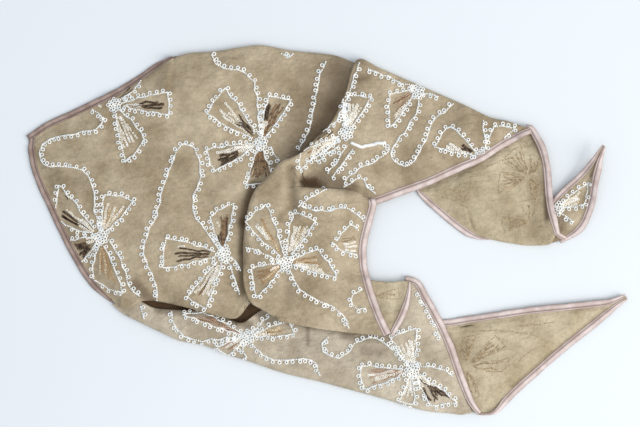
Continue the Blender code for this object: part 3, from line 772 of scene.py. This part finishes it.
class Look:
    """A material in the making: nodes whose inputs take values or the outputs of other nodes."""

    def __init__(self, name):
        self.material = bpy.data.materials.new(name)
        self.material.use_nodes = True
        self.tree = self.material.node_tree

    def feed(self, node, inputs):
        for name, value in inputs.items():
            if isinstance(value, bpy.types.NodeSocket):
                self.tree.links.new(value, node.inputs[name])
            else:
                node.inputs[name].default_value = value

    def node(self, kind, output, inputs, **settings):
        """The output of a new node."""
        node = self.tree.nodes.new("ShaderNode" + kind)
        for name, value in settings.items():
            setattr(node, name, value)
        self.feed(node, inputs)
        return node.outputs[output]

    def clouds(self, scale, detail, stops):
        """A colour ramp over noise, in the object's own space."""
        place = self.node("TexCoord", "Object", {})
        pattern = self.node("TexNoise", "Fac", {"Vector": place, "Scale": scale, "Detail": detail})
        colour = self.node("ValToRGB", "Color", {"Fac": pattern})
        for element, (position, tone) in zip(colour.node.color_ramp.elements, stops):
            element.position = position
            element.color = tone
        return colour

    def stretched_noise(self, scale, turn, detail):
        """Noise drawn out into fibres or wrinkles, as many a metre each way as the scale says."""
        place = self.node("TexCoord", "Object", {})
        turned = {"Vector": place, "Scale": scale, "Rotation": (0.0, 0.0, turn)}
        pulled = self.node("Mapping", "Vector", turned)
        return self.node("TexNoise", "Fac", {"Vector": pulled, "Scale": 1.0, "Detail": detail})

    def mix(self, share, a, b, blend="MIX"):
        inputs = {"Factor": share, "A": a, "B": b}
        return self.node("Mix", "Result", inputs, data_type="RGBA", blend_type=blend)

    def with_painted_shade(self, colour, shade_tone):
        """This colour in the open, fading to a painted shade tone where the mesh's shade attribute puts the
        place in shade.
        """
        return self.mix(self.node("Attribute", "Fac", {}, attribute_name="shade"), shade_tone, colour)

    def finish(self, inputs):
        self.feed(self.tree.nodes["Principled BSDF"], inputs)
        return self.material


def linear(tone):
    """A colour given as it looks on screen, 0 to 255, for a shader."""
    made = []
    for value in tone:
        share = value / 255
        made.append(share / 12.92 if share <= 0.04045 else ((share + 0.055) / 1.055) ** 2.4)
    return (*made, 1.0)


def cloth_material(name, dark, light, sheen, wrinkling):
    """Soft tan cloth: clouds of nap, fine fibres, small crepe wrinkles and a dry sheen."""
    look = Look(name)
    fibres = look.stretched_noise((1300.0, 260.0, 260.0), 0.5, 3.0)
    mottle = look.stretched_noise((190.0, 280.0, 200.0), 0.3, 4.0)
    wrinkles = look.stretched_noise((85.0, 170.0, 120.0), 0.35, 3.0)
    colour = look.clouds(34.0, 6.0, ((0.34, linear(dark)), (0.68, linear(light))))
    for pattern, strength in ((fibres, 0.30), (mottle, 0.34)):
        colour = look.mix(strength, colour, pattern, "MULTIPLY")
    bumps = {}
    for pattern, depth in ((wrinkles, wrinkling), (mottle, 0.0008), (fibres, 0.00012)):
        bump = {"Height": pattern, "Distance": depth, "Strength": 1.0, **bumps}
        bumps = {"Normal": look.node("Bump", "Normal", bump)}
    return look.finish({
        "Base Color": look.with_painted_shade(colour, linear(CLOTH_PAINTED_SHADE)),
        "Roughness": 0.78,
        "Specular IOR Level": 0.25,
        "Sheen Weight": sheen,
        "Sheen Roughness": 0.45,
        "Sheen Tint": (0.95, 0.86, 0.7, 1.0),
        **bumps,
    })


def plain_material(name, dark, light, roughness, metallic=0.0, scale=90.0, shade_tone=None):
    look = Look(name)
    colour = look.clouds(scale, 2.0, ((0.4, linear(dark)), (0.6, linear(light))))
    # Tapes darken towards their painted shade tone where their shade attribute is low.
    if shade_tone:
        colour = look.with_painted_shade(colour, linear(shade_tone))
    return look.finish({"Base Color": colour, "Roughness": roughness, "Metallic": metallic})


# The painted shade tone that the cloth darkens to in its creases, hollows and under its folds.
CLOTH_PAINTED_SHADE = (74, 54, 34)
# The darker and the lighter tone on screen, the sheen, and the depth of the small wrinkles in metres.
CLOTH_LOOKS = {
    "cloth": ("tan_cloth", (176, 156, 125), (219, 200, 169), 0.2, 0.0030),
    "pale": ("tan_cloth_pale", (190, 174, 148), (232, 217, 192), 0.2, 0.0028),
    "wrong": ("tan_cloth_back", (194, 175, 141), (234, 217, 184), 0.1, 0.0034),
    # The same cloth, painted dark brown as the shadow deep down in the pleat.
    "inside": ("tan_cloth_painted_shadow", (74, 53, 34), (104, 78, 52), 0.1, 0.0022),
}
# The two tones, the roughness, and where it isn't the usual one, how metallic it is and how fine its
# clouds are. The tapes also have a painted shade tone, which darkens their groove, lapped edge and
# underside.
PLAIN_LOOKS = {
    "binding": ("pink_tape", (199, 179, 171), (222, 205, 199), 0.5, 0.0, 90.0, (112, 84, 70)),
    # The same pink tape with painted shade, darker all over, for the tapes that roll under along the left
    # edges.
    "binding_painted_shade": ("pink_tape_painted_shade", (146, 122, 110), (172, 150, 138), 0.55, 0.0, 90.0, (74, 52, 42)),
    "beads": ("white_beads", (228, 231, 230), (250, 248, 241), 0.3, 0.0, 150.0),
    "cream": ("cream_sequins", (243, 234, 216), (254, 250, 241), 0.3, 0.05),
    "gold": ("gold_sequins", (214, 188, 148), (240, 222, 190), 0.3, 0.3),
    "gold_thread": ("gold_threads", (166, 130, 88), (196, 162, 118), 0.45, 0.1),
    "rose": ("rose_threads", (166, 130, 106), (206, 176, 152), 0.45, 0.1),
    "brown": ("brown_threads", (102, 76, 50), (158, 124, 88), 0.45, 0.1, 300.0),
    "dark": ("bronze_sequins", (52, 38, 26), (108, 84, 62), 0.35, 0.3, 400.0),
    "stitches": ("back_stitches", (146, 126, 94), (190, 168, 134), 0.8, 0.0, 350.0),
}

HALF = BINDING_HALF
WIDE = BINDING_WIDTH
# The folded tape across its width, all the way round: how far each point is outwards and upwards, and
# the share of its colour that painted shade leaves there, 1 where none is painted. The inner edge laps
# the cloth, and a stitched groove runs beside it.
TAPE_PROFILE = (
    (-0.9, HALF * 0.55, 0.4), (-0.6, HALF * 0.85, 0.5), (0.3, HALF, 0.8), (0.9, HALF * 0.9, 0.4),
    (1.3, HALF * 0.66, 0.1), (1.8, HALF * 0.92, 0.45), (WIDE * 0.5, HALF * 1.05, 1.0),
    (WIDE * 0.78, HALF * 0.9, 0.9), (WIDE * 0.93, HALF * 0.55, 0.6), (WIDE, 0.0, 0.4),
    (WIDE * 0.93, -HALF * 0.6, 0.4), (WIDE * 0.78, -HALF * 0.9, 0.4), (WIDE * 0.45, -HALF * 0.95, 0.4),
    (0.8, -HALF * 0.95, 0.4), (-0.6, -HALF * 0.85, 0.4), (-0.9, -HALF * 0.6, 0.4),
)
TAPE_RIM = slice(8, 12)  # the points of the profile that rest on the sheets below


def edge_path(grid, shares, side, first, last):
    """Edge points of a grid, each with a point inside it, between two shares of the way."""
    rows = [line for line, share in zip(grid, shares) if first <= share <= last]
    if side == "start":
        return [(line[0], line[3]) for line in rows]
    if side == "end":
        return [(line[-1], line[-4]) for line in rows]
    if side == "first row and end":
        return list(zip(grid[0][2:-2], grid[3][2:-2])) + [(line[-1], line[-4]) for line in rows[1:]]
    pairs = list(zip(grid[-1], grid[-4]))
    return pairs[round(first * (len(pairs) - 1)) : round(last * (len(pairs) - 1)) + 1]


def led_on(pairs, places, drop):
    """The path with further layout places after its end, each so much lower than the one before."""
    made = list(pairs)
    for place in places:
        at, inner = made[-1]
        spot = to_table(place)
        ahead = Vector((spot.x, spot.y, at.z - drop))
        turn = (at - made[-4][0]).xy.angle_signed((ahead - at).xy, 0.0) * 0.5
        offset = Matrix.Rotation(-turn, 3, "Z") @ (inner - at)
        made.append((ahead, ahead + offset))
    return made


def squared_out(out, along):
    """The outward direction, turned square to the path."""
    return (out - along * out.dot(along)).normalized()


def around(values, s, reach):
    return values[max(s - reach, 0) : s + reach + 1]


def even_path(pairs, step):
    """Points about one step apart along an edge, and smoothed outward directions there."""
    points = [at for at, _ in pairs]
    outs = [squared_out(at - inner, heading(points, s)) for s, (at, inner) in enumerate(pairs)]
    soft = [sum(around(outs, s, 3), Vector((0, 0, 0))).normalized() for s in range(len(outs))]
    kept = [0]
    for s, at in enumerate(points):
        if (at - points[kept[-1]]).length >= step:
            kept.append(s)
    if (points[-1] - points[kept[-1]]).length > step * 0.3:
        kept.append(len(points) - 1)
    return [points[s] for s in kept], [soft[s] for s in kept]


def binding_tape(pairs, tape, stack):
    """The points and faces of a tape along an edge."""
    seed = len(stack.trees)
    path, outs = even_path(pairs, TAPE_STEP)
    rings = []
    lifts = []
    for s, at in enumerate(path):
        along = heading(path, s)
        out = squared_out(outs[s], along)
        up = along.cross(out).normalized()
        if up.z < 0:
            up = -up
        spread = tape.wide * (1 + 0.09 * noise.noise(Vector((s / 7, seed, 0.0))))
        for share, end in zip(tape.narrow, (path[0], path[-1])):
            spread *= 1 - (1 - share) * max(0.0, 1 - (end - at).length / NARROWING)
        pucker = 0.22 * noise.noise(Vector((s / 1.7, seed, 5.0)))
        ring = [at + out * (o * spread) + up * (u * (1 + pucker)) for o, u, _ in TAPE_PROFILE]
        lift = max(0.0, -min(point.z for point in ring))
        for point in ring[TAPE_RIM]:
            floor = stack.top(point, tape.below, 1.0)
            if floor:
                lift = max(lift, floor + GAP - point.z)
        rings.append(ring)
        lifts.append(lift)
    highest = [max(around(lifts, s, 1)) for s in range(len(lifts))]
    points = []
    for s, ring in enumerate(rings):
        near = around(highest, s, 3)
        lift = max(sum(near) / len(near), max(0.0, -min(point.z for point in ring)))
        points += [point + Vector((0, 0, lift)) for point in ring]
    count = len(TAPE_PROFILE)
    faces = []
    for base in range(0, len(points) - count, count):
        for k in range(count):
            a = base + k
            b = base + (k + 1) % count
            faces.append((a, b, b + count, a + count))
    faces.append(tuple(range(count))[::-1])
    faces.append(tuple(range(len(points) - count, len(points))))
    return points, faces


def lay_panel(panel, stack, look):
    """A stretch of cloth on what it lies on, with the grid that it was made from."""
    grid, shares = laid_grid(panel, stack)
    points = [p for line in grid for p in line]
    row = len(grid) // 2
    c = len(grid[0]) // 2
    facing = (grid[row + 1][c] - grid[row][c]).cross(grid[row][c + 1] - grid[row][c]).z
    faces = grid_faces(len(grid), len(grid[0]), facing < 0)
    # Each point's share of colour left by the painted shade, kept on the mesh for the material.
    shade = [shading(p, SHADES.get(panel.name, ())) for p in points]
    item = add_object("cloth_" + panel.name, points, faces, look, shade)
    wall = item.modifiers.new("thickness", "SOLIDIFY")
    wall.thickness = CLOTH * MM
    wall.offset = 0.0
    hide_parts(*panel.nodes)
    stack.add(panel.name, [p + Vector((0, 0, CLOTH / 2)) for p in points], faces)
    return item, grid, shares


def lay_tape(tape, grid, shares, stack, look):
    pairs = edge_path(grid, shares, tape.side, *tape.part)
    pairs = led_on(led_on(pairs, tape.trail, tape.drop)[::-1], tape.lead, tape.drop)[::-1]
    points, faces = binding_tape(pairs, tape, stack)
    shade = [TAPE_PROFILE[p % len(TAPE_PROFILE)][2] for p in range(len(points))]
    item = add_object("tape_" + tape.name, points, faces, look, shade)
    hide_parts("binding_" + tape.name)
    stack.add(tape.name, points, faces)
    return item


def lay_cloth(looks):
    """All panels and tapes, and for each panel what it is as a flat sheet and what is sewn to it."""
    stack = Stack()
    sheets = []
    for panel in PANELS:
        item, grid, shares = lay_panel(panel, stack, looks[panel.look])
        tapes = [lay_tape(tape, grid, shares, stack, looks[tape.look]) for tape in panel.tapes]
        sheets.append((item, *quilt_size(grid), ["cloth_" + panel.rests_on], tapes))
    return stack, sheets


def path_points(points, step):
    """Places about one step apart along a smooth curve through layout points."""
    line = [to_table(p) for p in points]
    dense = []
    for row in range(len(line) - 1):
        cuts = max(4, round((line[row + 1] - line[row]).length / 0.4))
        dense += [smooth(line, row + cut / cuts) for cut in range(cuts)]
    dense.append(line[-1])
    made = [dense[0]]
    run = 0.0
    for a, b in zip(dense, dense[1:]):
        run += (b - a).length
        if run >= step:
            made.append(b)
            run -= step
    return made


class Scatter:
    """Many copies of a small template shape, gathered into one mesh."""

    def __init__(self, points, faces):
        self.template = points
        self.template_faces = faces
        self.points = []
        self.faces = []

    def place(self, at, along, normal, size=1.0):
        side = normal.cross(along).normalized()
        along = side.cross(normal)
        turned = Matrix((along, side, normal)).transposed()
        base = len(self.points)
        self.points += [at + turned @ (p * size) for p in self.template]
        self.faces += [tuple(base + i for i in face) for face in self.template_faces]


def ring_template(radius, thick, beads, section=6):
    """A ring of small beads, drawn as a ring that swells at each bead."""
    points = []
    faces = []
    around_ring = 2 * beads
    for a in range(around_ring):
        turn = 2 * math.pi * a / around_ring
        swell = thick * (1.1 if a % 2 else 0.78)
        for s in range(section):
            angle = 2 * math.pi * s / section
            reach = radius + swell * math.cos(angle)
            points.append(Vector((reach * math.cos(turn), reach * math.sin(turn), swell * math.sin(angle))))
            a2 = (a + 1) % around_ring
            s2 = (s + 1) % section
            faces.append((a * section + s, a2 * section + s, a2 * section + s2, a * section + s2))
    return points, faces


def bead_template(radius, long, sides=5):
    """A small bead, a little longer along its thread than it is wide."""
    points = [Vector((long, 0, 0)), Vector((-long, 0, 0))]
    faces = []
    for s in range(sides):
        angle = 2 * math.pi * s / sides
        y = radius * math.cos(angle)
        z = radius * math.sin(angle)
        points += [Vector((long * 0.5, y, z)), Vector((-long * 0.5, y, z))]
        a = 2 + 2 * s
        b = 2 + 2 * ((s + 1) % sides)
        faces += [(0, a, b), (a, a + 1, b + 1, b), (1, b + 1, a + 1)]
    return points, faces


# Each kind of small piece: its shape, its look, and how high its middle lies over the cloth. The
# name is that of the object which gathers all of its kind.
RING = ring_template(PICOT_RADIUS, PICOT_THICK, 6)
BEAD = bead_template(BEAD_RADIUS, BEAD_STEP * 0.56, 6)
KINDS = {
    "petal_rings": Kind(RING, "beads", 0.55),
    "petal_beads": Kind(BEAD, "beads", BEAD_RADIUS * 0.6),
    "vine_rings": Kind(RING, "beads", 0.55),
    "vine_beads": Kind(BEAD, "beads", BEAD_RADIUS * 0.6),
    "cream_sequins": Kind(ring_template(0.86, 0.42, 4, 5), "cream", 0.35),
    "gold_sequins": Kind(ring_template(0.78, 0.36, 4, 5), "gold", 0.3),
    "gold_threads": Kind(bead_template(0.38, 0.95), "gold_thread", 0.25),
    "rose_threads": Kind(bead_template(0.42, 0.85), "rose", 0.3),
    "brown_threads": Kind(bead_template(0.42, 0.85), "brown", 0.3),
    "dark_sequins": Kind(bead_template(0.52, 0.95), "dark", 0.35),
    "back_stitches": Kind(bead_template(0.48, 0.85), "stitches", 0.0),
}
# For each letter of a petal's fill: what is sewn, from where to where along the petal, how many
# lines of it side by side, and how far apart its pieces lie.
FILLS = {
    "c": Fill("cream_sequins", 0.26, 0.84, 1, 2.4),
    "e": Fill("cream_sequins", 0.50, 0.86, 1, 2.4),
    "i": Fill("cream_sequins", 0.20, 0.52, 1, 2.4),
    "o": Fill("cream_sequins", 0.70, 0.84, 1, 2.4),
    "g": Fill("gold_sequins", 0.26, 0.82, 1, 2.3),
    "t": Fill("gold_threads", 0.22, 0.88, 2, 1.5),
    "r": Fill("rose_threads", 0.22, 0.86, 2, 1.5),
    "b": Fill("brown_threads", 0.20, 0.88, 2, 1.5),
    "d": Fill("dark_sequins", 0.26, 0.80, 2, 1.5),
    "k": Fill("dark_sequins", 0.52, 0.88, 3, 1.4),
    "n": Fill("dark_sequins", 0.26, 0.54, 2, 1.5),
    "s": Fill("back_stitches", 0.20, 0.96, 2, 1.9),
}


def petal_outline(middle, left, right):
    """The layout points of a petal's edge, from the flower's middle round its far end and back."""
    ahead = ((left + right) / 2 - middle).normalized()
    spread = (right - left) / 2
    near_left = middle + (left - middle) * 0.16
    near_right = middle + (right - middle) * 0.16
    side_left = middle + (left - middle) * 0.58 - spread * 0.10
    side_right = middle + (right - middle) * 0.58 + spread * 0.10
    far = (left + right) / 2 + ahead * spread.length * 0.12
    return (near_left, side_left, left), (left, far, right), (right, side_right, near_right)


def wandering(spot, seed):
    """A spot of a sewn line, moved a little off the path that the line was drawn on."""
    return spot + Vector((ripple(spot, 8, seed), ripple(spot, 8, seed + 5.0))) * LINE_BEND * 2


class Sewing:
    """All small pieces sewn on the sheets of a stack, each kind gathered into one Scatter."""

    def __init__(self, stack):
        self.stack = stack
        self.parts = {name: Scatter(*kind.shape) for name, kind in KINDS.items()}

    def sew(self, kind, place, sheet, along, size, lean=None):
        """Sews on one piece, unless another sheet lies on top there or the cloth is too steep."""
        name, at, normal = self.stack.highest(place)
        if name != sheet or normal.z < STEEPEST:
            return False
        stands = (normal + lean.to_3d()).normalized() if lean else normal
        self.parts[kind].place(at + normal * KINDS[kind].lift, along.to_3d(), stands, size)
        return True

    def row(self, start, end, kind, step, sheet, seed):
        """A row of one kind of piece between two layout points."""
        spots = [wandering(spot, seed) for spot in path_points((start, end), step)]
        for a, b in zip(spots, spots[1:]):
            self.sew(kind, a, sheet, (b - a).normalized(), 1 + 0.3 * ripple(a, 2, seed))

    def stitches(self, points, sheet, seed):
        for a, b in zip(points, points[1:]):
            self.row(a, b, "back_stitches", STITCH_STEP, sheet, seed)

    def beaded_line(self, points, sheet, owner, side, seed):
        """A line of small beads along a path, with bead rings standing out to one side of it."""
        spots = [wandering(spot, seed) for spot in path_points(points, BEAD_STEP)]
        run = PICOT_STEP * 0.5
        for s, spot in enumerate(spots):
            along = heading(spots, s)
            out = Vector((-along.y, along.x))
            wander = ripple(spot, 3, seed)
            size = (1 if side else CORD) + 0.2 * wander
            if not self.sew(owner + "_beads", spot + out * 0.25 * wander, sheet, along, size):
                continue
            run += BEAD_STEP
            if run < PICOT_STEP * (1 + 0.3 * wander) or not side:
                continue
            run = 0.0
            place = spot + out * side * (PICOT_RADIUS + 0.75 + 0.5 * wander) + along * wander
            self.sew(owner + "_rings", place, sheet, along, 1 + 0.22 * wander, out * 0.5 * wander)

    def filling(self, middle, left, right, fill, sheet, seed):
        """The rows of pieces inside a petal, slot by slot from its left side to its right."""
        slots = fill.split()
        aside = (right - left).normalized() * LINE_GAP
        for k, letters in enumerate(slots):
            tip = left.lerp(right, (k + 0.5) / len(slots))
            wander = ripple(tip, 4, seed)
            for kind, low, high, lines, step in (FILLS[letter] for letter in letters if letter in FILLS):
                for line in range(lines):
                    off = line - (lines - 1) / 2
                    ragged = 0.07 * noise.noise(Vector((line * 1.7, k * 2.3, seed)))
                    near = middle.lerp(tip, max(low + 0.08 * wander + ragged, 0.16)) + aside * off * 0.55
                    far = middle.lerp(tip, min(high + 0.10 * wander + ragged, 0.93)) + aside * off
                    self.row(near, far, kind, step, sheet, seed + k)

    def petals(self, flower, seed, show_through=False):
        """A flower's petals: beaded ones, or only the stitches of petals on the other face."""
        middle = Vector(flower.centre)
        for k, (left, right, fill) in enumerate(flower.petals):
            left = Vector(left)
            right = Vector(right)
            side = -1 if (left - middle).cross(right - middle) < 0 else 1
            for points in petal_outline(middle, left, right):
                if show_through:
                    self.stitches(points, flower.sheet, seed + k)
                else:
                    self.beaded_line(points, flower.sheet, "petal", side, seed + k)
            self.filling(middle, left, right, fill, flower.sheet, seed + k)

    def heart(self, flower):
        """The knot of bead rings at a flower's centre."""
        for k in range(HEART_RINGS):
            reach = 1.6 * math.sqrt(k)
            turn = 2.4 * k
            x = flower.centre[0] + reach * math.cos(turn)
            y = flower.centre[1] + reach * math.sin(turn)
            name, at, normal = self.stack.highest(to_table((x, y)))
            if name == flower.sheet and normal.z > STEEPEST:
                size = 0.8 + 0.1 * (k % 3)
                self.parts["petal_rings"].place(at + normal * 0.6, Vector((1, 0, 0)), normal, size)


def sew(stack, looks):
    sewing = Sewing(stack)
    for number, flower in enumerate(FLOWERS):
        sewing.petals(flower, number * 3.7)
        sewing.heart(flower)
    vines = [(sheet, *vine) for sheet, rows in VINES.items() for vine in rows]
    for number, (sheet, side, *points) in enumerate(vines):
        sewing.beaded_line(points, sheet, "vine", side, 50.0 + number)
    for number, (sheet, kind, start, end) in enumerate(SEWN_LINES):
        sewing.row(start, end, kind, LINE_STEP, sheet, 90.0 + number)
    for number, flower in enumerate(BACK_FLOWERS):
        sewing.petals(flower, number * 5.1, show_through=True)
    for number, (sheet, *points) in enumerate(STITCH_LINES):
        sewing.stitches(points, sheet, 70.0 + number)
    for name, scatter in sewing.parts.items():
        add_object(name, scatter.points, scatter.faces, looks[KINDS[name].look])
        print(f"{name}: {len(scatter.faces)} faces")


def make_looks():
    made = {key: cloth_material(*look) for key, look in CLOTH_LOOKS.items()}
    made.update({key: plain_material(*look) for key, look in PLAIN_LOOKS.items()})
    return made


def add_area_light(name, place, size, power, colour):
    """A square light that shines at the origin."""
    light = bpy.data.lights.new(name, "AREA")
    light.shape = "SQUARE"
    light.size = size
    light.energy = power
    light.color = colour
    item = bpy.data.objects.new(name, light)
    item.location = place
    item.rotation_euler = (-Vector(place)).to_track_quat("-Z", "Y").to_euler()
    bpy.context.scene.collection.objects.link(item)


def add_table():
    mesh = bpy.data.meshes.new("table")
    half = 3.0
    below = -0.0002
    corners = [(-half, -half, below), (half, -half, below), (half, half, below), (-half, half, below)]
    mesh.from_pydata(corners, [], [(0, 1, 2, 3)])
    mesh.materials.append(plain_material("table_white", (222, 226, 228), (224, 228, 230), 0.6, scale=2.0))
    table = bpy.data.objects.new("table", mesh)
    bpy.context.scene.collection.objects.link(table)


def add_camera():
    distance = 2.0
    sensor = 36.0
    camera = bpy.data.cameras.new("camera")
    camera.sensor_width = sensor
    camera.lens = sensor * distance / (VIEW[0] * MM)
    item = bpy.data.objects.new("camera", camera)
    middle = to_table((VIEW[0] / 2, VIEW[1] / 2)) * MM
    item.location = (middle.x, middle.y, distance)
    bpy.context.scene.collection.objects.link(item)
    bpy.context.scene.camera = item


def add_studio():
    add_table()
    world = bpy.data.worlds.new("soft_room")
    world.use_nodes = True
    background = world.node_tree.nodes["Background"]
    background.inputs["Color"].default_value = (0.86, 0.92, 1.0, 1.0)
    background.inputs["Strength"].default_value = 0.72
    bpy.context.scene.world = world
    bpy.context.scene.view_settings.view_transform = "Standard"
    add_area_light("window", (2.2, -0.72, 1.6), 1.8, 52.0, (1.0, 0.98, 0.95))
    add_area_light("ceiling", (0.1, -0.2, 1.9), 1.6, 9.0, (1.0, 1.0, 1.0))
    add_camera()


looks = make_looks()
stack, sheets = lay_cloth(looks)
sew(stack, looks)
for item, wide, long, area, rests_on, tapes in sheets:
    print(f"{item.name}: {wide:.3f} x {long:.3f} m, {area:.4f} m2")
add_studio()
